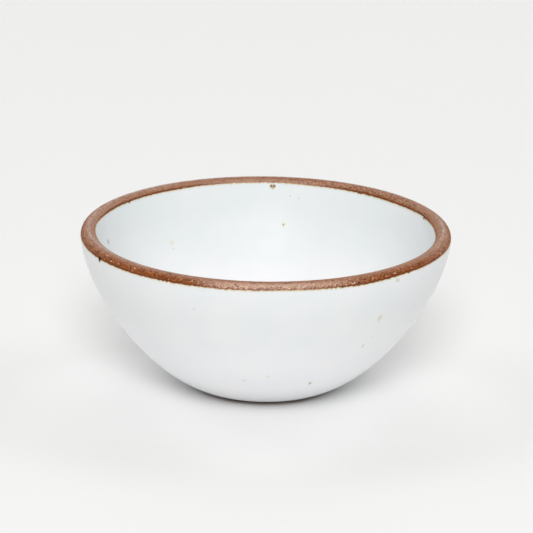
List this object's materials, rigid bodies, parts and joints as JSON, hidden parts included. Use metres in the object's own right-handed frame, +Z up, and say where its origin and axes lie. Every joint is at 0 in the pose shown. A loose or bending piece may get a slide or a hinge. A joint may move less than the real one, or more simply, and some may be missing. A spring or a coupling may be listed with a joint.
{
  "type": "ice cream bowl",
  "caption": "Small round stoneware bowl with curved glazed walls, a bare rounded clay rim and a low foot ring, for serving ice cream.",
  "frame": {"origin": "centre of the foot ring on the plane that the bowl stands on", "axes": "+Z up along the bowl's turning axis; the picture looks along +Y"},
  "size_m": [0.127, 0.127, 0.056],
  "materials": {
    "stoneware": "bare fired clay, matt, with dark pits and pale grains",
    "glaze": "satin white glaze with a faint blue-green cast and a few iron specks"
  },
  "bodies": {
    "root": {"stoneware_body": "stoneware", "inner_glaze": "glaze", "outer_glaze": "glaze"}
  },
  "joints": []
}
